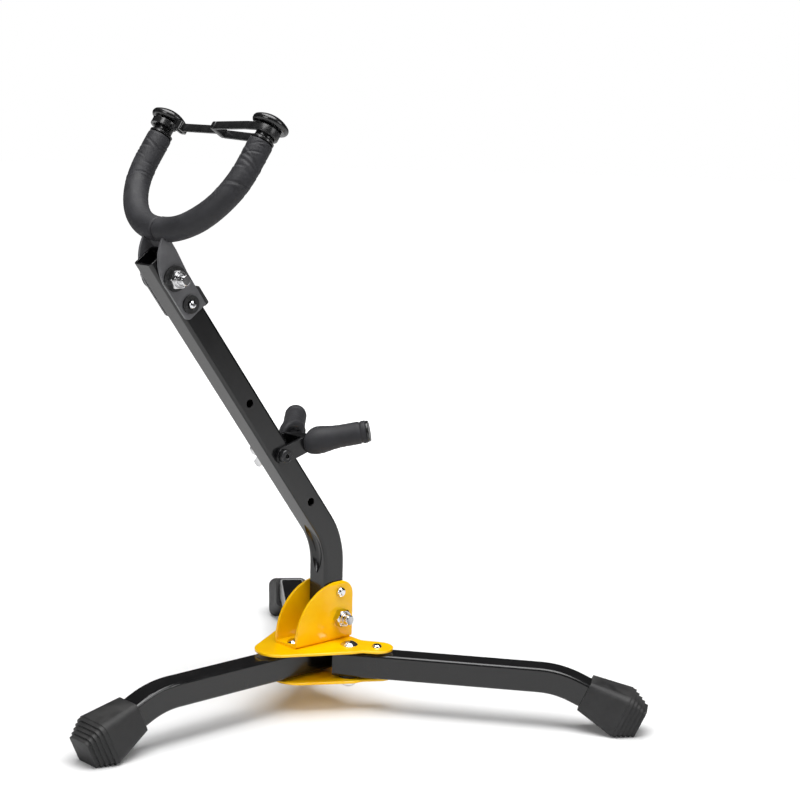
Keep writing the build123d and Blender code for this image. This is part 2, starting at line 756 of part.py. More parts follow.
# Lower rest
rest_centre = on_mast(rest_t, 0)
tilt = radians(strap_tilt)
clevis_dir = Vector(0, -cos(tilt), sin(tilt))
clevis_side = Plane(origin=rest_centre, x_dir=clevis_dir, z_dir=(-1, 0, 0))
clevis_in = 10.4
clevis_out = 12.9
web_back = clevis_reach - rod_r - 2.5

with BuildPart() as rest_clevis:
    with BuildSketch(clevis_side):
        Circle(clevis_width / 2)
        with Locations(((clevis_reach - rod_r) / 2, 0)):
            Rectangle(clevis_reach - rod_r, clevis_width)
    extrude(amount=clevis_out, both=True)
    front = rest_clevis.faces().sort_by(Axis(rest_centre, clevis_dir))[-1]
    upright = front.edges().filter_by(Axis(rest_centre, clevis_side.y_dir))
    fillet(upright, radius=2.4)
    with BuildSketch(clevis_side):
        with Locations((web_back - 30, 0)):
            Rectangle(60, 40)
    extrude(amount=clevis_in, both=True, mode=Mode.SUBTRACT)
    with Locations(Plane(origin=rest_centre, z_dir=(1, 0, 0))):
        Cylinder(rest_bolt_r + run, 60, mode=Mode.SUBTRACT)
rest_clevis.part.label = "rest_clevis"
export_step(rest_clevis.part, "parts/rest_clevis.step")

climb = radians(rest_rise)
reach_dir = Vector(0, -cos(climb), sin(climb))
rod_centre = rest_centre + clevis_dir * clevis_reach
rest_plane = Plane(origin=rod_centre, x_dir=(1, 0, 0), z_dir=Vector(1, 0, 0).cross(reach_dir))
elbow_x = 12.0
arm_run = ((arm_end_x - elbow_x) ** 2 + arm_end_f ** 2) ** 0.5

with BuildPart() as rest_rod:
    with BuildLine(rest_plane) as path:
        FilletPolyline(
            (-arm_end_x, arm_end_f), (-elbow_x, 0), (elbow_x, 0), (arm_end_x, arm_end_f),
            radius=12.0,
        )
    with BuildSketch(Plane(origin=path.line @ 0, z_dir=path.line % 0)):
        Circle(rod_r)
    sweep()
rest_rod.part.label = "rest_rod"
export_step(rest_rod.part, "parts/rest_rod.step")

for side, sign in sides.items():
    elbow = rest_plane.from_local_coords(Vector(sign * elbow_x, 0, 0))
    tip = rest_plane.from_local_coords(Vector(sign * arm_end_x, arm_end_f, 0))
    arm = (tip - elbow).normalized()
    arm_view = Plane(origin=elbow, x_dir=rest_plane.z_dir, z_dir=rest_plane.z_dir.cross(arm))
    with BuildPart() as grip:
        # the foam swells over the elbow and narrows towards the end
        with BuildLine(rest_plane) as bent:
            FilletPolyline(
                (sign * 2.0, 0), (sign * elbow_x, 0), (sign * arm_end_x, arm_end_f), radius=12.0
            )
        with BuildSketch(Plane(origin=bent.line @ 0, z_dir=bent.line % 0)):
            Circle(8.8)
        sweep()
        with BuildSketch(arm_view):
            with BuildLine():
                Line((0, 5.0), (9.8, 5.0))
                Spline((9.8, 5.0), (10.9, 11.0), (9.6, 22.0), (8.9, 33.0))
                Line((8.9, 33.0), (0, 33.0))
                Line((0, 33.0), (0, 5.0))
            make_face()
        revolve(axis=Axis(elbow, arm))
        with BuildLine(rest_plane) as bent_again:
            FilletPolyline(
                (sign * 2.0, 0), (sign * elbow_x, 0), (sign * arm_end_x, arm_end_f), radius=12.0
            )
        with BuildSketch(Plane(origin=bent_again.line @ 0, z_dir=bent_again.line % 0)):
            Circle(rod_r + 0.05)
        sweep(mode=Mode.SUBTRACT)
        with Locations(rest_plane):
            Box(2 * (clevis_out + 0.4), 60, 60, mode=Mode.SUBTRACT)
    grip.part.label = "rest_" + side + "_grip"
    export_step(grip.part, "parts/rest_" + side + "_grip.step")

    with BuildPart() as cap:
        with Locations(Plane(origin=tip + arm * 0.95, z_dir=arm)):
            Cylinder(8.3, 1.7)
        fillet(cap.edges().filter_by(GeomType.CIRCLE).sort_by(Axis(tip, arm))[-1], radius=0.7)
    cap.part.label = "rest_" + side + "_cap"
    export_step(cap.part, "parts/rest_" + side + "_cap.step")

head_high = 3.6
with BuildPart() as rest_bolt:
    bolt_end = clevis_out + 1.3 + 9.0 + 3.0
    head_seat = clevis_out + run
    with Locations(Plane(origin=rest_centre + Vector((bolt_end - head_seat) / 2, 0, 0), z_dir=(1, 0, 0))):
        Cylinder(rest_bolt_r, bolt_end + head_seat)
    head_x = -head_seat - head_high / 2
    with Locations(Plane(origin=rest_centre + Vector(head_x, 0, 0), z_dir=(1, 0, 0))):
        Cylinder(5.2, head_high)
    rims = rest_bolt.edges().filter_by(GeomType.CIRCLE).sort_by(Axis.X)
    chamfer([rims[0], rims[-1]], length=0.6)
    with BuildSketch(Plane(origin=rest_centre + Vector(-head_seat - head_high, 0, 0), z_dir=(1, 0, 0))):
        RegularPolygon(2.0, 6, major_radius=False)
    extrude(amount=2.2, mode=Mode.SUBTRACT)
rest_bolt.part.label = "rest_bolt"
export_step(rest_bolt.part, "parts/rest_bolt.step")

rest_washer = thin_washer(clevis_out + 0.65, rest_centre, rest_bolt_r + run, 6.8, 1.2)
rest_washer.label = "rest_washer"
export_step(rest_washer, "parts/rest_washer.step")

wing_seat = rest_centre + Vector(clevis_out + 1.35, 0, 0)
with BuildPart() as wing_nut:
    with BuildSketch(Plane(origin=wing_seat, z_dir=(1, 0, 0))):
        Circle(6.2)
    extrude(amount=8.6, taper=8)
    for turn in (1, -1):
        radial = Vector(0, 0.34, 0.94) * turn
        wing_view = Plane(origin=wing_seat, x_dir=radial, z_dir=radial.cross(Vector(1, 0, 0)))
        with BuildSketch(wing_view) as wing:
            with BuildLine():
                Polyline((3.5, 1.0), (6.5, 1.6), (14.5, 6.5))
                ThreePointArc((14.5, 6.5), (15.6, 11.5), (11.5, 13.6))
                Polyline((11.5, 13.6), (7.0, 8.2), (3.5, 7.4), (3.5, 1.0))
            make_face()
        extrude(amount=1.2, both=True)
    with Locations(Plane(origin=wing_seat, z_dir=(1, 0, 0))):
        Cylinder(rest_bolt_r + run, 60, mode=Mode.SUBTRACT)
wing_nut.part.label = "wing_nut"
export_step(wing_nut.part, "parts/wing_nut.step")
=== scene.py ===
import json
import math
import bpy
import numpy as np
from mathutils import Matrix, Vector


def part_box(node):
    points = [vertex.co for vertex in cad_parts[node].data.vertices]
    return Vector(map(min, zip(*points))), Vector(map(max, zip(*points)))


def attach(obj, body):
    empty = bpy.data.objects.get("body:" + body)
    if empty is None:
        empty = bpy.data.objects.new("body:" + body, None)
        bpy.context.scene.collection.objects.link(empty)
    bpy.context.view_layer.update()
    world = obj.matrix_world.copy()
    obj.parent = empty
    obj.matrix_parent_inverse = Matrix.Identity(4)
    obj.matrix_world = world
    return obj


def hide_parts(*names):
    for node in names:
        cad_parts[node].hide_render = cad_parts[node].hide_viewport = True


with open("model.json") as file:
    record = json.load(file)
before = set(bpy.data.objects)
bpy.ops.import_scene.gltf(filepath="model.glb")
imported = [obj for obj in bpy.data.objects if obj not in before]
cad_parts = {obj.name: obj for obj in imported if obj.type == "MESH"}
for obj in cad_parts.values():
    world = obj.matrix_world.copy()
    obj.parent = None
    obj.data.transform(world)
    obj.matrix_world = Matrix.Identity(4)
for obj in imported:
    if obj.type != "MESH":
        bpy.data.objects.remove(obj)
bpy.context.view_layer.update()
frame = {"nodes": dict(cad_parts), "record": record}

nodes = frame["nodes"]
mm = 0.001
print("stand: frame loaded,", len(nodes), "pieces")


# places in mm, in the stand's own frame
standLayout = {
    "bendPoint": (0.0, -42.0, 134.0),
    "mastLean": 36.3,
    "yokeLean": 34.0,
    "yokeBase": (300.8, 17.8),  # along the mast, in front of it
    "yokeHalf": 60.0,
    "yokeBend": 57.0,
    "restAlong": 95.0,
    "restReach": 29.0,
    "restTilt": 16.0,
    "restRise": 17.5,
}


def unit(v):
    v = np.asarray(v, float)
    return v / np.linalg.norm(v, axis=-1, keepdims=True)


leanAngle = math.radians(standLayout["mastLean"])
mastAlong = np.array([0, math.sin(leanAngle), math.cos(leanAngle)])
mastFront = np.array([0, -math.cos(leanAngle), math.sin(leanAngle)])
yokeAngle = math.radians(standLayout["yokeLean"])
armUp = np.array([0, -math.sin(yokeAngle), math.cos(yokeAngle)])
acrossX = np.array([1.0, 0, 0])
yokeOut = np.cross(acrossX, armUp)


def onMast(along, front=0.0):
    # a place given by its distance along the mast from the bend, and in front of it
    return np.array(standLayout["bendPoint"]) + along * mastAlong + front * mastFront


yokeOrigin = onMast(*standLayout["yokeBase"])


def roundedRoute(corners, radius, step, arcPoints=24):
    # straight runs joined by tangent arcs of one radius, then points evenly spaced by length;
    # returns them with the length run at each
    pts = np.asarray(corners, float)
    line = [pts[0]]
    for before, corner, after in zip(pts[:-2], pts[1:-1], pts[2:]):
        inDir, outDir = unit(corner - before), unit(after - corner)
        turn = math.acos(np.clip(inDir @ outDir, -1, 1))
        reach = radius * math.tan(turn / 2)
        centre = corner - inDir * reach + unit(outDir - inDir * (inDir @ outDir)) * radius
        sweep = np.linspace(0, turn, arcPoints)[:, None]
        spoke = (corner - inDir * reach) - centre
        line += list(centre + np.cos(sweep) * spoke + np.sin(sweep) * inDir * radius)
    line.append(pts[-1])
    line = np.array(line)
    run = np.concatenate([[0], np.cumsum(np.linalg.norm(np.diff(line, axis=0), axis=1))])
    even = np.linspace(0, run[-1], max(2, int(run[-1] / step)))
    return np.stack([np.interp(even, run, line[:, k]) for k in range(3)], 1), even


def sideAlong(line, flat):
    # at each point, the direction square to the route in its own plane; flat is the plane's normal
    tangent = unit(np.gradient(line, axis=0))
    return unit(np.cross(np.broadcast_to(flat, tangent.shape), tangent))


def gridPiece(name, grid, wrapV=False, poles=False):
    # grid[i, j] is a point: i runs along (v), j runs around (u) and closes on itself; mm in, metres out;
    # wrapV joins the last row to the first, poles closes both ends with a fan
    n, m = grid.shape[:2]
    rows = np.arange(n if wrapV else n - 1)
    cols = np.arange(m)
    i, j = (a.ravel() for a in np.meshgrid(rows, cols, indexing="ij"))
    i2, j2 = (i + 1) % n, (j + 1) % m
    quads = np.stack([i * m + j, i * m + j2, i2 * m + j2, i2 * m + j], 1)
    uv = np.stack([np.stack([j, i], 1), np.stack([j + 1, i], 1),
                   np.stack([j + 1, i + 1], 1), np.stack([j, i + 1], 1)], 1) / [m, n]
    points = grid.reshape(-1, 3)
    faces, corners = quads.tolist(), uv.reshape(-1, 2)
    if poles:
        k = np.arange(m)
        first, last = len(points), len(points) + 1
        points = np.vstack([points, grid[0].mean(0), grid[-1].mean(0)])
        low = np.stack([np.full(m, first), (k + 1) % m, k], 1)
        high = np.stack([np.full(m, last), (n - 1) * m + k, (n - 1) * m + (k + 1) % m], 1)
        faces += low.tolist() + high.tolist()
        corners = np.vstack([corners, np.zeros((6 * m, 2))])
    mesh = bpy.data.meshes.new(name)
    mesh.from_pydata((points * mm).tolist(), [], faces)
    layer = mesh.uv_layers.new(name="lay")
    layer.data.foreach_set("uv", corners.astype(np.float32).ravel())
    mesh.polygons.foreach_set("use_smooth", [True] * len(faces))
    mesh.update()
    piece = bpy.data.objects.new(name, mesh)
    bpy.context.scene.collection.objects.link(piece)
    outward(piece)
    return piece


def outward(piece):
    # signed volume is negative when the faces point inwards; then every face is turned round
    mesh = piece.data
    mesh.calc_loop_triangles()
    tris = np.zeros(len(mesh.loop_triangles) * 3, int)
    mesh.loop_triangles.foreach_get("vertices", tris)
    co = np.zeros(len(mesh.vertices) * 3)
    mesh.vertices.foreach_get("co", co)
    a, b, c = co.reshape(-1, 3)[tris.reshape(-1, 3)].transpose(1, 0, 2)
    if np.einsum("ij,ij->", a, np.cross(b, c)) < 0:
        mesh.flip_normals()


def smoothStep(x, low, high):
    # 0 below low, 1 above high, 3t^2 - 2t^3 between
    t = np.clip((x - low) / (high - low), 0, 1)
    return t * t * (3 - 2 * t)


# shader groups that several finishes share
def addNode(tree, kind, at, **values):
    node = tree.nodes.new(kind)
    node.location = at
    for key, value in values.items():
        if key in node.inputs.keys():
            node.inputs[key].default_value = value
        else:
            setattr(node, key, value)
    return node


def newGroup(name, inputs, outputs):
    tree = bpy.data.node_groups.new(name, "ShaderNodeTree")
    for label, kind, value in inputs:
        sock = tree.interface.new_socket(label, in_out="INPUT", socket_type="NodeSocket" + kind)
        if value is not None:
            sock.default_value = value
    for label, kind in outputs:
        tree.interface.new_socket(label, in_out="OUTPUT", socket_type="NodeSocket" + kind)
    inlet, outlet = addNode(tree, "NodeGroupInput", (-900, 0)), addNode(tree, "NodeGroupOutput", (700, 0))
    return tree, inlet, outlet


def mathNode(tree, op, at, a, b=None):
    node = addNode(tree, "ShaderNodeMath", at, operation=op)
    for k, value in enumerate((a, b)):
        if value is None:
            continue
        if isinstance(value, (int, float)):
            node.inputs[k].default_value = value
        else:
            tree.links.new(value, node.inputs[k])
    return node.outputs[0]


def rangeNode(tree, at, value, low, high, outLow=0.0, outHigh=1.0):
    node = addNode(tree, "ShaderNodeMapRange", at)
    tree.links.new(value, node.inputs["Value"])
    for label, number in zip(("From Min", "From Max", "To Min", "To Max"), (low, high, outLow, outHigh)):
        if isinstance(number, (int, float)):
            node.inputs[label].default_value = number
        else:
            tree.links.new(number, node.inputs[label])
    return node.outputs["Result"]


def mixColor(tree, at, factor, a, b):
    node = addNode(tree, "ShaderNodeMix", at, data_type="RGBA")
    for sock, value in ((node.inputs[0], factor), (node.inputs[6], a), (node.inputs[7], b)):
        if isinstance(value, (int, float)):
            sock.default_value = value
        elif isinstance(value, (tuple, list)):
            sock.default_value = (*value[:3], 1.0)
        else:
            tree.links.new(value, sock)
    return node.outputs[2]


def buildGrain():
    # coarse and fine noise added up: mottle for colour, height for the skin of a coat or a moulding
    tree, inp, out = newGroup("surfaceGrain", [("Vector", "Vector", None), ("Coarse", "Float", 60.0),
                              ("Fine", "Float", 900.0), ("Fine Share", "Float", 0.3)],
                              [("Mottle", "Float"), ("Height", "Float")])
    coarse = addNode(tree, "ShaderNodeTexNoise", (-600, 150), Detail=3.0, Roughness=0.55)
    fine = addNode(tree, "ShaderNodeTexNoise", (-600, -150), Detail=2.0, Roughness=0.6)
    for node, label in ((coarse, "Coarse"), (fine, "Fine")):
        tree.links.new(inp.outputs["Vector"], node.inputs["Vector"])
        tree.links.new(inp.outputs[label], node.inputs["Scale"])
    scaled = mathNode(tree, "MULTIPLY", (-300, -150), fine.outputs["Fac"], inp.outputs["Fine Share"])
    height = mathNode(tree, "ADD", (-100, -50), coarse.outputs["Fac"], scaled)
    tree.links.new(height, out.inputs["Height"])
    tree.links.new(rangeNode(tree, (-100, 150), coarse.outputs["Fac"], 0.35, 0.65), out.inputs["Mottle"])
    return tree


def buildSoftEdge():
    # normal rounded over sharp edges, and a mask that is 1 right on them
    tree, inp, out = newGroup("softEdge", [("Radius", "Float", 0.0005)],
                              [("Normal", "Vector"), ("Edge", "Float")])
    bevel = addNode(tree, "ShaderNodeBevel", (-600, 0), samples=6)
    tree.links.new(inp.outputs["Radius"], bevel.inputs["Radius"])
    real = addNode(tree, "ShaderNodeNewGeometry", (-600, -250))
    dot = addNode(tree, "ShaderNodeVectorMath", (-350, -100), operation="DOT_PRODUCT")
    tree.links.new(bevel.outputs["Normal"], dot.inputs[0])
    tree.links.new(real.outputs["Normal"], dot.inputs[1])
    tree.links.new(rangeNode(tree, (-100, -100), dot.outputs["Value"], 0.985, 0.80), out.inputs["Edge"])
    tree.links.new(bevel.outputs["Normal"], out.inputs["Normal"])
    return tree


def buildScratches():
    # thin lines where a long stretched noise crosses its middle value, kept only in patches
    tree, inp, out = newGroup("hairScratches",
                              [("Vector", "Vector", None), ("Stretch", "Vector", (40.0, 900.0, 900.0)),
                               ("Width", "Float", 0.012)], [("Mask", "Float")])
    long = addNode(tree, "ShaderNodeVectorMath", (-700, 100), operation="MULTIPLY")
    tree.links.new(inp.outputs["Vector"], long.inputs[0])
    tree.links.new(inp.outputs["Stretch"], long.inputs[1])
    lines = addNode(tree, "ShaderNodeTexNoise", (-500, 100), Scale=1.0, Detail=1.0)
    tree.links.new(long.outputs["Vector"], lines.inputs["Vector"])
    fromMiddle = mathNode(tree, "SUBTRACT", (-300, 100), lines.outputs["Fac"], 0.5)
    away = mathNode(tree, "ABSOLUTE", (-100, 100), fromMiddle)
    thin = rangeNode(tree, (80, 100), away, inp.outputs["Width"], 0.0)
    patch = addNode(tree, "ShaderNodeTexNoise", (-500, -200), Scale=35.0, Detail=2.0)
    tree.links.new(inp.outputs["Vector"], patch.inputs["Vector"])
    where = rangeNode(tree, (-300, -200), patch.outputs["Fac"], 0.52, 0.68)
    tree.links.new(mathNode(tree, "MULTIPLY", (300, 0), thin, where), out.inputs["Mask"])
    return tree


def buildDust():
    # pale film on faces that look up, broken by noise
    tree, inp, out = newGroup("dustFilm",
                              [("Color", "Color", (0.1, 0.1, 0.1, 1)),
                               ("Dust", "Color", (0.5, 0.48, 0.45, 1)),
                               ("Vector", "Vector", None), ("Amount", "Float", 0.1)],
                              [("Color", "Color"), ("Mask", "Float")])
    geo = addNode(tree, "ShaderNodeNewGeometry", (-900, -300))
    split = addNode(tree, "ShaderNodeSeparateXYZ", (-700, -300))
    tree.links.new(geo.outputs["Normal"], split.inputs[0])
    up = rangeNode(tree, (-500, -300), split.outputs["Z"], -0.2, 1.0)
    cloud = addNode(tree, "ShaderNodeTexNoise", (-700, 0), Scale=45.0, Detail=6.0, Roughness=0.7)
    tree.links.new(inp.outputs["Vector"], cloud.inputs["Vector"])
    patchy = rangeNode(tree, (-500, 0), cloud.outputs["Fac"], 0.35, 0.7)
    lying = mathNode(tree, "MULTIPLY", (-300, -100), up, patchy)
    mask = mathNode(tree, "MULTIPLY", (-100, -100), lying, inp.outputs["Amount"])
    dusted = mixColor(tree, (200, 100), mask, inp.outputs["Color"], inp.outputs["Dust"])
    tree.links.new(dusted, out.inputs["Color"])
    tree.links.new(mask, out.inputs["Mask"])
    return tree


grainGroup, edgeGroup, scratchGroup, dustGroup = buildGrain(), buildSoftEdge(), buildScratches(), buildDust()


def placeGroup(tree, group, at, **values):
    node = addNode(tree, "ShaderNodeGroup", at, node_tree=group)
    for key, value in values.items():
        if hasattr(value, "is_output"):
            tree.links.new(value, node.inputs[key])
        else:
            node.inputs[key].default_value = value
    return node


# one finish: two tones mottled together, scratches, worn edges, dust, grain bump over rounded edges
def makeFinish(name, look):
    finish = bpy.data.materials.new(name)
    finish.use_nodes = True
    tree = finish.node_tree
    shader = tree.nodes["Principled BSDF"]
    shader.location = (900, 0)
    place = addNode(tree, "ShaderNodeTexCoord", (-1100, 0)).outputs["Object"]
    grain = placeGroup(tree, grainGroup, (-800, 200), Vector=place, Coarse=look["coarse"], Fine=look["fine"])
    grain.inputs["Fine Share"].default_value = look.get("fineShare", 0.3)
    tone = mixColor(tree, (-500, 250), grain.outputs["Mottle"], look["tone"], look["toneTwo"])
    edge = placeGroup(tree, edgeGroup, (-800, -100), Radius=look.get("edge", 0.0005))
    worn = mathNode(tree, "MULTIPLY", (-500, -100), edge.outputs["Edge"], look.get("wear", 0.3))
    tone = mixColor(tree, (-300, 200), worn, tone, look.get("wornTone", look["toneTwo"]))
    scratch = placeGroup(tree, scratchGroup, (-800, -350), Vector=place, Width=look.get("scratchWidth", 0.01))
    scratch.inputs["Stretch"].default_value = look.get("stretch", (500.0, 500.0, 45.0))
    lines = mathNode(tree, "MULTIPLY", (-500, -350), scratch.outputs["Mask"], look.get("scratch", 0.2))
    tone = mixColor(tree, (-100, 150), lines, tone, look.get("scratchTone", look["toneTwo"]))
    dust = placeGroup(tree, dustGroup, (100, 150), Color=tone, Vector=place, Amount=look.get("dust", 0.05))
    tree.links.new(dust.outputs["Color"], shader.inputs["Base Color"])
    low, high = look["rough"]
    rough = rangeNode(tree, (-300, -250), grain.outputs["Mottle"], 0.0, 1.0, low, high)
    rough = mathNode(tree, "ADD", (100, -250), rough, mathNode(tree, "MULTIPLY", (-100, -400), lines, 0.35))
    rough = mathNode(tree, "ADD", (300, -250), rough, dust.outputs["Mask"])
    tree.links.new(rough, shader.inputs["Roughness"])
    bump = addNode(tree, "ShaderNodeBump", (500, -400), Strength=look["bump"],
                   Distance=look.get("relief", 0.0002))
    tree.links.new(grain.outputs["Height"], bump.inputs["Height"])
    tree.links.new(edge.outputs["Normal"], bump.inputs["Normal"])
    tree.links.new(bump.outputs["Normal"], shader.inputs["Normal"])
    shader.inputs["Metallic"].default_value = look.get("metal", 0.0)
    shader.inputs["Coat Weight"].default_value = look.get("coat", 0.0)
    shader.inputs["Coat Roughness"].default_value = 0.08
    shader.inputs["Sheen Weight"].default_value = look.get("sheen", 0.0)
    shader.inputs["Sheen Roughness"].default_value = 0.5
    shader.inputs["IOR"].default_value = 1.5
    shader.inputs["Specular IOR Level"].default_value = look.get("specular", 0.5)
    return finish


# one entry per finish: two tones, noise scales, a roughness range and how worn, scratched or dusty it is
finishLooks = {
    "yellow_coat": dict(
        tone=(0.98, 0.52, 0.0), toneTwo=(1.0, 0.58, 0.0), coarse=55.0, fine=1400.0, rough=(0.16, 0.22),
        bump=0.06, coat=0.12, specular=0.40, edge=0.0006, wear=0.30, wornTone=(1.0, 0.74, 0.14),
        scratch=0.12, scratchTone=(1.0, 0.68, 0.1), dust=0.0),
    "black_coat": dict(
        tone=(0.0040, 0.0040, 0.0045), toneTwo=(0.0058, 0.0058, 0.0064), coarse=38.0, fine=1100.0,
        rough=(0.17, 0.24), bump=0.05, coat=0.22, specular=0.44, edge=0.0006, wear=0.18,
        wornTone=(0.03, 0.03, 0.032), scratch=0.22, scratchTone=(0.04, 0.04, 0.043), dust=0.008),
    "satin bracket": dict(
        tone=(0.100, 0.100, 0.105), toneTwo=(0.125, 0.125, 0.132), coarse=60.0, fine=1500.0,
        rough=(0.30, 0.40), bump=0.08, coat=0.1, edge=0.0006, wear=0.30, wornTone=(0.12, 0.12, 0.125),
        scratch=0.30, scratchTone=(0.12, 0.12, 0.125), dust=0.01),
    "zinc": dict(
        tone=(0.58, 0.58, 0.59), toneTwo=(0.72, 0.72, 0.73), coarse=110.0, fine=2600.0,
        rough=(0.10, 0.17), bump=0.03, metal=1.0, edge=0.0005, wear=0.35, wornTone=(0.92, 0.92, 0.93),
        scratch=0.35, scratchTone=(0.4, 0.4, 0.4), dust=0.0, stretch=(900.0, 80.0, 900.0)),
    "chrome": dict(
        tone=(0.72, 0.73, 0.75), toneTwo=(0.80, 0.80, 0.82), coarse=160.0, fine=2400.0,
        rough=(0.05, 0.10), bump=0.02, metal=1.0, edge=0.0003, wear=0.2, wornTone=(0.95, 0.95, 0.95),
        scratch=0.2, scratchTone=(0.4, 0.4, 0.42), dust=0.0),
    "dark_steel": dict(
        tone=(0.035, 0.035, 0.037), toneTwo=(0.06, 0.06, 0.062), coarse=240.0, fine=2400.0,
        rough=(0.28, 0.42), bump=0.10, metal=0.9, edge=0.0004, wear=0.6, wornTone=(0.28, 0.28, 0.28),
        scratch=0.4, scratchTone=(0.25, 0.25, 0.25), dust=0.02),
    "spring_steel": dict(
        tone=(0.30, 0.31, 0.33), toneTwo=(0.40, 0.41, 0.44), coarse=180.0, fine=2000.0,
        rough=(0.24, 0.36), bump=0.10, metal=1.0, edge=0.0003, wear=0.3, wornTone=(0.6, 0.6, 0.62),
        scratch=0.5, scratchTone=(0.2, 0.2, 0.22), dust=0.01),
    "nylon": dict(
        tone=(0.008, 0.008, 0.008), toneTwo=(0.013, 0.013, 0.014), coarse=300.0, fine=2600.0,
        rough=(0.38, 0.48), bump=0.10, edge=0.0005, wear=0.3, wornTone=(0.035, 0.035, 0.035),
        scratch=0.2, scratchTone=(0.04, 0.04, 0.04), dust=0.01),
    "foot_rubber": dict(
        tone=(0.0125, 0.0125, 0.0130), toneTwo=(0.0190, 0.0190, 0.0200), coarse=90.0, fine=2300.0,
        fineShare=0.8, rough=(0.50, 0.62), bump=0.30, edge=0.0009, wear=0.45,
        wornTone=(0.055, 0.055, 0.058), scratch=0.15, scratchTone=(0.06, 0.06, 0.06), dust=0.05,
        relief=0.00025, specular=0.4),
    "foam": dict(
        tone=(0.0105, 0.0105, 0.0130), toneTwo=(0.0165, 0.0165, 0.0200), coarse=120.0, fine=3200.0,
        fineShare=1.4, rough=(0.52, 0.64), bump=0.50, relief=0.00022, edge=0.0008, wear=0.2,
        wornTone=(0.035, 0.035, 0.040), scratch=0.1, scratchTone=(0.05, 0.05, 0.055), dust=0.02,
        sheen=0.04, specular=0.38),
    "knob_plastic": dict(
        tone=(0.0055, 0.0055, 0.0060), toneTwo=(0.0085, 0.0085, 0.0090), coarse=140.0, fine=2200.0,
        rough=(0.16, 0.24), bump=0.05, coat=0.25, edge=0.0007, wear=0.25, wornTone=(0.03, 0.03, 0.032),
        scratch=0.2, scratchTone=(0.04, 0.04, 0.04), dust=0.01),
    "strap_rubber": dict(
        tone=(0.0065, 0.0065, 0.0070), toneTwo=(0.0100, 0.0100, 0.0105), coarse=160.0, fine=2600.0,
        rough=(0.26, 0.36), bump=0.12, coat=0.1, edge=0.0006, wear=0.25, wornTone=(0.03, 0.03, 0.032),
        scratch=0.2, scratchTone=(0.04, 0.04, 0.04), dust=0.01),
}
finishes = {slotName: makeFinish(slotName.replace("_", " "), look) for slotName, look in finishLooks.items()}

for part in frame["record"]["subparts"]:
    body = nodes[part["node"]]
    body.data.materials.clear()
    body.data.materials.append(finishes[part["material_slot"]])
nodes["yoke_bracket"].data.materials[0] = finishes["satin bracket"]  # paler than the other black steel
print("stand: finishes made,", len(finishes))


def settle(piece, slotName, bodyName, *stoodFor):
    piece.data.materials.append(finishes[slotName])
    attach(piece, bodyName)
    if stoodFor:
        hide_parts(*stoodFor)
    return piece


# foam sleeves on the yoke, one each side of the seam
sleeveLook = {
    "radius": 9.25, "bore": 5.06, "top": 77.0, "seam": 0.25, "roundEnd": 2.4,
    "step": 0.55, "around": 120,
    "creases": 26, "creaseDeep": 0.60, "creaseFrom": (3.0, 44.0), "creaseSpread": (0.45, 1.3),
    "creaseSlant": 6.0, "creaseWide": (0.45, 0.9), "creaseShare": (0.35, 1.0), "creaseCurl": 1.1, "seed": 7,
    "bendFolds": 0.16, "bendFoldPitch": 6.5, "bendFrom": (14.0, 26.0), "bendTo": (34.0, 20.0),
    "lumpy": 0.10, "lumpPitch": 37.0, "boreEvery": 9,
}


def yokePoint(x, up, out=0.0):
    # across the U, up its arms and out of its plane, from the middle of its bottom
    return (yokeOrigin + np.multiply.outer(x, acrossX) + np.multiply.outer(up, armUp)
            + np.multiply.outer(out, yokeOut))


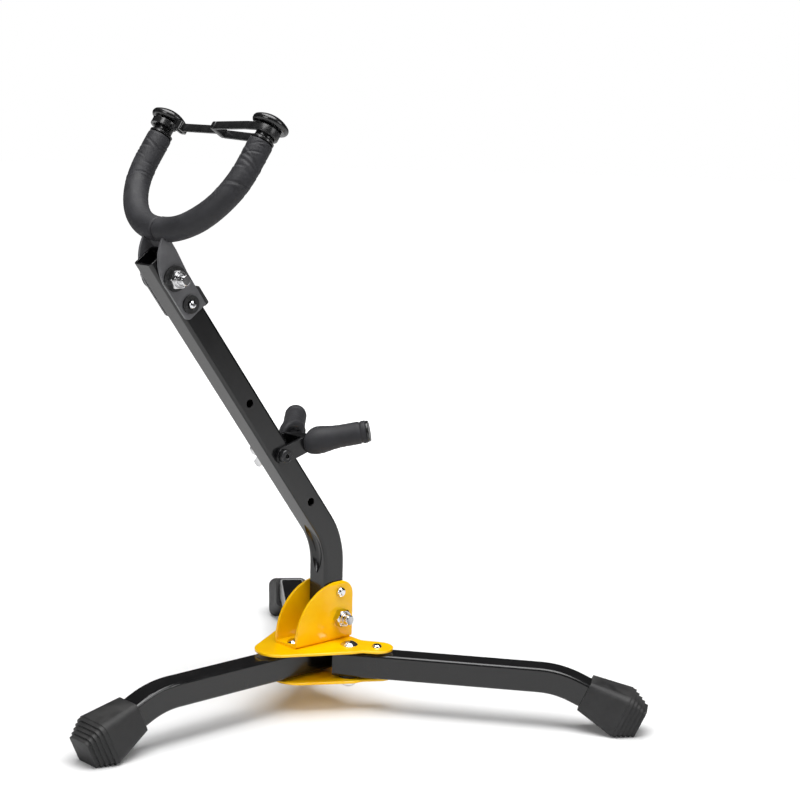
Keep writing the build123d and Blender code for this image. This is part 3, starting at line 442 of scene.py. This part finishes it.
def foamSleeve(name, sign, look):
    # radius(s, a) = plain tube, rounded at both ends, less the creases:
    # each crease is a short groove, a bell across its width and along its length, slanted and bent a little;
    # less shallow ripples on the inside of the bend, and slow lumps along and round the tube
    half, bend = standLayout["yokeHalf"], standLayout["yokeBend"]
    corners = np.array([yokePoint(sign * look["seam"], 0.0), yokePoint(sign * half, 0.0),
                        yokePoint(sign * half, look["top"])])
    line, s = roundedRoute(corners, bend, look["step"])
    side = sideAlong(line, yokeOut)
    a = np.linspace(0, 2 * math.pi, look["around"], endpoint=False)
    sGrid, aGrid = np.meshgrid(s, a, indexing="ij")
    length = s[-1]
    fromTop = length - sGrid
    nearEnd = np.minimum(sGrid, fromTop)
    radius = look["radius"] - look["roundEnd"] + np.sqrt(
        np.clip(look["roundEnd"] ** 2 - np.clip(look["roundEnd"] - nearEnd, 0, None) ** 2, 0, None))
    rng = np.random.default_rng(look["seed"] + sign)
    n = look["creases"]
    at = rng.uniform(*look["creaseFrom"], n)  # from the top end
    turn = rng.uniform(0, 2 * math.pi, n)
    spread = rng.uniform(*look["creaseSpread"], n)  # half length round the tube, radians
    slant = rng.uniform(-look["creaseSlant"], look["creaseSlant"], n)
    wide = rng.uniform(*look["creaseWide"], n)
    deep = look["creaseDeep"] * rng.uniform(*look["creaseShare"], n)
    off = (aGrid[..., None] - turn + math.pi) % (2 * math.pi) - math.pi
    path = fromTop[..., None] - at - slant * off - look["creaseCurl"] * off ** 2
    groove = np.exp(-(path / wide) ** 2) - 0.45 * np.exp(-((path - 2.2 * wide) / (1.6 * wide)) ** 2)
    radius -= (deep * groove * np.exp(-(off / spread) ** 4)).sum(-1)
    inside = np.clip(sign * np.cos(aGrid), 0, 1) ** 1.5
    ripples = np.sin(2 * math.pi * (sGrid + 1.4 * np.sin(3 * aGrid + 0.03 * sGrid)) / look["bendFoldPitch"])
    bendStart = smoothStep(sGrid, *look["bendFrom"])
    bendZone = bendStart * (1 - smoothStep(sGrid, *(length - far for far in look["bendTo"])))
    radius -= look["bendFolds"] * bendZone * inside * np.clip(ripples, 0, 1) ** 2
    lumps = 1 + np.sin(2 * math.pi * sGrid / look["lumpPitch"] + 2.0 * sign)
    radius -= look["lumpy"] * lumps * (0.5 + 0.5 * np.cos(aGrid * 2 + sign))
    dirs = np.cos(aGrid)[..., None] * side[:, None, :] + np.sin(aGrid)[..., None] * yokeOut
    outer = line[:, None, :] + radius[..., None] * dirs
    back = slice(None, None, -look["boreEvery"])
    boreLine, boreSide = line[back], side[back]
    bore = boreLine[:, None, :] + look["bore"] * (np.cos(a)[None, :, None] * boreSide[:, None, :]
                                                  + np.sin(a)[None, :, None] * yokeOut)
    return gridPiece(name, np.concatenate([outer, bore]), wrapV=True)


for sideName, sign in (("left", -1), ("right", 1)):
    sleeve = foamSleeve(f"{sideName}YokeFoam", sign, sleeveLook)
    settle(sleeve, "foam", "yoke", f"yoke_{sideName}_sleeve")
print("stand: yoke foam")

# padded arms of the lower rest
gripLook = {
    "plain": 8.8, "swell": 2.0, "swellAt": 15.0, "swellWide": 10.0, "bore": 5.06,
    "elbowX": 12.0, "endX": 43.0, "endF": 31.3, "startX": 13.35, "radius": 12.0, "step": 0.6, "around": 64,
    "folds": 0.35, "foldPitch": 5.2, "foldFrom": (9.0, 15.0), "foldTo": (20.0, 9.0), "ringFrom": 5.0,
    "ringDeep": 0.75, "ringWide": 0.8, "roundEnd": 1.2, "halvings": 24, "boreRows": 14, "rootX": 2.0,
}
tiltAngle, riseAngle = (math.radians(standLayout[k]) for k in ("restTilt", "restRise"))
restCentre = onMast(standLayout["restAlong"])
restOrigin = restCentre + standLayout["restReach"] * np.array([0, -math.cos(tiltAngle), math.sin(tiltAngle)])
restAhead = np.array([0, -math.cos(riseAngle), math.sin(riseAngle)])
restUp = np.cross(acrossX, restAhead)


def foamGrip(name, sign, look):
    # radius(s, a) = plain tube + a bell-shaped swell past the elbow - a ring groove near the end
    # - diagonal folds;
    # each lengthwise line starts where it meets the flat of the clevis, x = startX
    corners = [restOrigin + acrossX * sign * look["rootX"], restOrigin + acrossX * sign * look["elbowX"],
               restOrigin + acrossX * sign * look["endX"] + restAhead * look["endF"]]
    line, s = roundedRoute(corners, look["radius"], look["step"])
    side = sideAlong(line, restUp)
    length = s[-1]
    a = np.linspace(0, 2 * math.pi, look["around"], endpoint=False)

    def widthAt(sGrid, aGrid):
        fromEnd = length - sGrid
        r = look["plain"] + look["swell"] * np.exp(-((sGrid - look["swellAt"]) / look["swellWide"]) ** 2)
        r -= look["ringDeep"] * np.exp(-((fromEnd - look["ringFrom"]) / look["ringWide"]) ** 2)
        slanted = sGrid + 2.6 * np.sin(aGrid + 0.8 * sign)
        fold = np.sin(2 * math.pi * slanted / look["foldPitch"] + 1.3 * np.sin(2 * aGrid))
        zone = smoothStep(sGrid, *look["foldFrom"])
        zone = zone * (1 - smoothStep(sGrid, *(length - far for far in look["foldTo"])))
        oneSide = np.clip(0.4 + 0.6 * np.sin(aGrid + sign), 0, 1)
        r -= look["folds"] * zone * np.clip(fold, 0, 1) ** 1.8 * oneSide
        edge = look["roundEnd"]
        return r - edge + np.sqrt(np.clip(edge ** 2 - np.clip(edge - fromEnd, 0, None) ** 2, 0, None))

    def pointAt(sGrid, aGrid, r):
        centre = np.stack([np.interp(sGrid, s, line[:, k]) for k in range(3)], -1)
        across = unit(np.stack([np.interp(sGrid, s, side[:, k]) for k in range(3)], -1))
        return centre + r[..., None] * (np.cos(aGrid)[..., None] * across + np.sin(aGrid)[..., None] * restUp)

    def boreAt(sGrid, aGrid):
        return np.full(np.shape(sGrid), look["bore"])

    def trimmed(radiusAt, v):
        # halving finds where each lengthwise line crosses the flat; v spreads the rows from there to the end
        low, high = np.zeros_like(a), np.full_like(a, length * 0.6)
        for _ in range(look["halvings"]):
            middle = (low + high) / 2
            inside = np.abs(pointAt(middle, a, radiusAt(middle, a))[..., 0]) < look["startX"]
            low, high = np.where(inside, middle, low), np.where(inside, high, middle)
        sGrid = high[None, :] + v[:, None] * (length - high[None, :])
        aGrid = np.broadcast_to(a, sGrid.shape)
        return pointAt(sGrid, aGrid, radiusAt(sGrid, aGrid))

    outer = trimmed(widthAt, np.linspace(0, 1, int(length / look["step"])))
    bore = trimmed(boreAt, np.linspace(1, 0, look["boreRows"]))
    return gridPiece(name, np.concatenate([outer, bore]), wrapV=True)


for sideName, sign in (("left", -1), ("right", 1)):
    grip = foamGrip(f"{sideName}RestFoam", sign, gripLook)
    settle(grip, "foam", "rest", f"rest_{sideName}_grip")
print("stand: rest foam")

# the rubber belt across the yoke, doubled round the left neck
beltLook = {
    "upAt": 85.0, "wide": 6.4, "thick": 2.4, "round": 0.8, "joint": -7.0, "end": 36.0,
    "neck": 7.0, "slack": 0.3, "squeeze": 0.66, "closeIn": 14.0, "tuck": 0.98, "step": 1.1,
    "blockLong": 5.0, "blockOver": 1.0,
}


def roundedBar(wide, thick, corner, perCorner=5):
    # outline of a rectangle with quarter-circle corners, as (across, along) pairs
    turn = np.linspace(0, math.pi / 2, perCorner)
    quads = np.arange(4)[:, None] * math.pi / 2 + turn[None, :]
    cx = np.array([1, -1, -1, 1])[:, None] * (wide / 2 - corner)
    cy = np.array([1, 1, -1, -1])[:, None] * (thick / 2 - corner)
    return np.stack([(cx + corner * np.cos(quads)).ravel(), (cy + corner * np.sin(quads)).ravel()], 1)


def carryBar(name, line, flat, look):
    # the belt's outline carried along a flat route: first number along flat, second along the side
    side = sideAlong(line, flat)
    outline = roundedBar(look["wide"], look["thick"], look["round"])
    grid = (line[:, None, :] + outline[None, :, :1] * np.asarray(flat)[None, None, :]
            + outline[None, :, 1:] * side[:, None, :])
    return gridPiece(name, grid, poles=True)


def beltPoint(x, out):
    return yokePoint(x, beltLook["upAt"], out)


# the loop goes round the left neck at loopOut and closes in on the joint block
loopOut = beltLook["neck"] + beltLook["thick"] / 2 + beltLook["slack"]
nearOut = loopOut * beltLook["squeeze"]
neckX = -standLayout["yokeHalf"]
loopHalf = [(beltLook["joint"] - 1, nearOut), (neckX + beltLook["closeIn"], loopOut),
            (neckX - loopOut, loopOut)]
loopCorners = [beltPoint(x, out) for x, out in loopHalf] + [beltPoint(x, -out) for x, out in loopHalf[::-1]]
loopLine, _ = roundedRoute(loopCorners, loopOut * beltLook["tuck"], beltLook["step"])
settle(carryBar("beltLoop", loopLine, armUp, beltLook), "strap_rubber", "strap", "strap_band")
singleEnds = [beltPoint(beltLook["joint"] + 2, 0.0), beltPoint(beltLook["end"], 0.0)]
singleLine, _ = roundedRoute(singleEnds, 1.0, beltLook["step"])
settle(carryBar("beltSingle", singleLine, armUp, beltLook), "strap_rubber", "strap")


def softBlock(name, centre, axes, halfSize, power=6.0, n=28):
    # superellipsoid: |x/a|^p + |y/b|^p + |z/c|^p = 1 on a latitude-longitude grid
    lat = np.linspace(-math.pi / 2, math.pi / 2, n)[1:-1]
    lon = np.linspace(-math.pi, math.pi, 2 * n, endpoint=False)
    latG, lonG = np.meshgrid(lat, lon, indexing="ij")

    def square(v):
        return np.sign(v) * np.abs(v) ** (2 / power)

    local = np.stack([square(np.cos(latG)) * square(np.cos(lonG)),
                      square(np.cos(latG)) * square(np.sin(lonG)), square(np.sin(latG))], -1)
    grid = np.asarray(centre) + (local * np.asarray(halfSize)) @ np.asarray(axes)
    return gridPiece(name, grid, poles=True)


blockDeep = 2 * nearOut + beltLook["thick"] + beltLook["blockOver"]
blockSize = np.array([beltLook["blockLong"], blockDeep, beltLook["wide"]])
joint = softBlock("beltJoint", beltPoint(beltLook["joint"] + 1, 0.0), [acrossX, yokeOut, armUp],
                  blockSize / 2)
settle(joint, "knob_plastic", "strap")
print("stand: belt")

# screw threads that show past the nuts
threadLook = {"pitch": 1.25, "crest": 4.16, "root": 3.98, "around": 40, "perTurn": 10, "gap": 0.3}


def screwThread(name, start, direction, length, look):
    # r(z, a) = root + (crest - root) * triangle wave of (z / pitch - a / 2 pi)
    pitch, root, crest = look["pitch"], look["root"], look["crest"]
    z = np.linspace(0, length, int(length / pitch * look["perTurn"]))
    a = np.linspace(0, 2 * math.pi, look["around"], endpoint=False)
    zG, aG = np.meshgrid(z, a, indexing="ij")
    wave = np.abs(((zG / pitch - aG / (2 * math.pi)) % 1.0) * 2 - 1)
    r = root + (crest - root) * wave
    r[[0, -1]] = root * 0.97
    axis = unit(direction)
    first = unit(np.cross(axis, [0.0, 0.2, 1.0]))
    second = np.cross(axis, first)
    grid = (np.asarray(start) + zG[..., None] * axis
            + r[..., None] * (np.cos(aG)[..., None] * first + np.sin(aG)[..., None] * second))
    return gridPiece(name, grid, poles=True)


for threadName, boltNode, nutNode, bodyName in (("mastThread", "mast_pivot_bolt", "mast_pivot_nut", "hub"),
                                                ("yokeThread", "yoke_pivot_bolt", "yoke_pivot_nut", "yoke")):
    bolt, nut = ([np.array(c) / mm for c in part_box(n)] for n in (boltNode, nutNode))
    centreYZ = ((bolt[0] + bolt[1]) / 2)[1:]
    facing = 1 if bolt[1][0] - nut[1][0] > threadLook["gap"] and nut[1][0] > 0 else -1
    nutFace, boltEnd = (nut[1][0], bolt[1][0]) if facing > 0 else (nut[0][0], bolt[0][0])
    length = abs(boltEnd - nutFace) - threadLook["gap"]
    start = (nutFace - facing * threadLook["gap"], *centreYZ)
    thread = screwThread(threadName, start, (facing, 0, 0), length, threadLook)
    settle(thread, "zinc", bodyName)
print("stand: threads")

# camera
cameraLook = {"spot": (-1071.9, 894.7, 495.8), "target": (-80.56, -42.0, 258.14), "roll": 1.49,
              "lens": 82.445}


def aimCamera():
    # looks from the spot at the target, then turns by the roll about the line of sight
    spot = np.array(cameraLook["spot"])
    ahead = unit(np.array(cameraLook["target"]) - spot)
    right = unit(np.cross(ahead, [0, 0, 1]))
    up = np.cross(right, ahead)
    roll = math.radians(cameraLook["roll"])
    return (spot, right * math.cos(roll) + up * math.sin(roll),
            up * math.cos(roll) - right * math.sin(roll), ahead)


spot, camRight, camUp, camAhead = aimCamera()
cameraData = bpy.data.cameras.new("standCamera")
cameraData.lens = cameraLook["lens"]
cameraData.sensor_width = 36.0
cameraData.clip_end = 50.0
camera = bpy.data.objects.new("standCamera", cameraData)
bpy.context.scene.collection.objects.link(camera)
camera.matrix_world = Matrix([[camRight[k], camUp[k], -camAhead[k], spot[k] * mm] for k in range(3)]
                             + [[0, 0, 0, 1]])
bpy.context.scene.camera = camera

# soft panels
lightLooks = {
    "topPanel": {"at": (-0.25, 0.15, 1.7), "toward": (0.0, 0.0, 0.15), "size": 1.5, "power": 46.0},
    "leftPanel": {"at": (-1.5, -0.5, 0.9), "toward": (0.0, 0.0, 0.2), "size": 0.7, "power": 6.0},
    "rightPanel": {"at": (-0.2, 1.7, 0.8), "toward": (0.0, 0.0, 0.2), "size": 0.7, "power": 8.0},
}
for lightName, look in lightLooks.items():
    data = bpy.data.lights.new(lightName, "AREA")
    data.shape, data.size, data.energy = "SQUARE", look["size"], look["power"]
    lamp = bpy.data.objects.new(lightName, data)
    bpy.context.scene.collection.objects.link(lamp)
    lamp.location = look["at"]
    lamp.rotation_euler = (Vector(look["toward"]) - Vector(look["at"])).to_track_quat("-Z", "Y").to_euler()

# sky: brighter overhead than at the horizon, and seen as plain white
world = bpy.data.worlds.new("studio")
bpy.context.scene.world = world
world.use_nodes = True
skyTree = world.node_tree
backdrop = skyTree.nodes["Background"]
backdrop.inputs["Color"].default_value = (1, 1, 1, 1)
skyLook = {"overhead": 0.06, "horizon": 0.008, "from": 0.02, "to": 0.75}
skyPlace = addNode(skyTree, "ShaderNodeTexCoord", (-1000, 0))
skySplit = addNode(skyTree, "ShaderNodeSeparateXYZ", (-800, 0))
skyTree.links.new(skyPlace.outputs["Generated"], skySplit.inputs[0])
skyGlow = rangeNode(skyTree, (-600, 0), skySplit.outputs["Z"], skyLook["from"], skyLook["to"],
                    skyLook["horizon"], skyLook["overhead"])
skyTree.links.new(skyGlow, backdrop.inputs["Strength"])
seen = addNode(skyTree, "ShaderNodeBackground", (0, -200), Color=(1, 1, 1, 1), Strength=1.0)
isSeen = addNode(skyTree, "ShaderNodeLightPath", (-200, 200))
blendSky = addNode(skyTree, "ShaderNodeMixShader", (200, 0))
skyTree.links.new(isSeen.outputs["Is Camera Ray"], blendSky.inputs[0])
skyTree.links.new(backdrop.outputs[0], blendSky.inputs[1])
skyTree.links.new(seen.outputs[0], blendSky.inputs[2])
skyTree.links.new(blendSky.outputs[0], skyTree.nodes["World Output"].inputs["Surface"])

# round paper floor, just under the feet
floorLook = {"radius": 9.0, "sides": 96, "drop": 0.0002, "tone": 0.80, "glowFrom": 0.25, "glowTo": 1.3,
             "glowNear": 0.06, "glowFar": 1.0}
floorMesh = bpy.data.meshes.new("studioFloor")
ringAngles = np.linspace(0, 2 * math.pi, floorLook["sides"], endpoint=False)
ring = np.stack([floorLook["radius"] * np.cos(ringAngles), floorLook["radius"] * np.sin(ringAngles),
                 np.full_like(ringAngles, -floorLook["drop"])], 1)
floorMesh.from_pydata(ring.tolist(), [], [list(range(floorLook["sides"]))])
floor = bpy.data.objects.new("studioFloor", floorMesh)
bpy.context.scene.collection.objects.link(floor)
paper = bpy.data.materials.new("studio paper")
paper.use_nodes = True
paperTree = paper.node_tree
paperShader = paperTree.nodes["Principled BSDF"]
paperShader.inputs["Base Color"].default_value = (*[floorLook["tone"]] * 3, 1)
paperShader.inputs["Roughness"].default_value = 0.9
paperShader.inputs["Specular IOR Level"].default_value = 0.1
# the far paper looks lit evenly to the back of the studio: a glow that grows with distance
# and lights nothing else
paperPlace = addNode(paperTree, "ShaderNodeTexCoord", (-900, -300))
paperReach = addNode(paperTree, "ShaderNodeVectorMath", (-700, -300), operation="LENGTH")
paperTree.links.new(paperPlace.outputs["Object"], paperReach.inputs[0])
paperGlow = rangeNode(paperTree, (-400, -300), paperReach.outputs["Value"], floorLook["glowFrom"],
                      floorLook["glowTo"], floorLook["glowNear"], floorLook["glowFar"])
paperSeen = addNode(paperTree, "ShaderNodeLightPath", (-400, -600)).outputs["Is Camera Ray"]
paperTree.links.new(mathNode(paperTree, "MULTIPLY", (-200, -300), paperGlow, paperSeen),
                    paperShader.inputs["Emission Strength"])
paperShader.inputs["Emission Color"].default_value = (1, 1, 1, 1)
floorMesh.materials.append(paper)
bpy.context.scene.view_settings.view_transform = "Standard"  # keeps the yellow from greying
print("stand: studio ready")
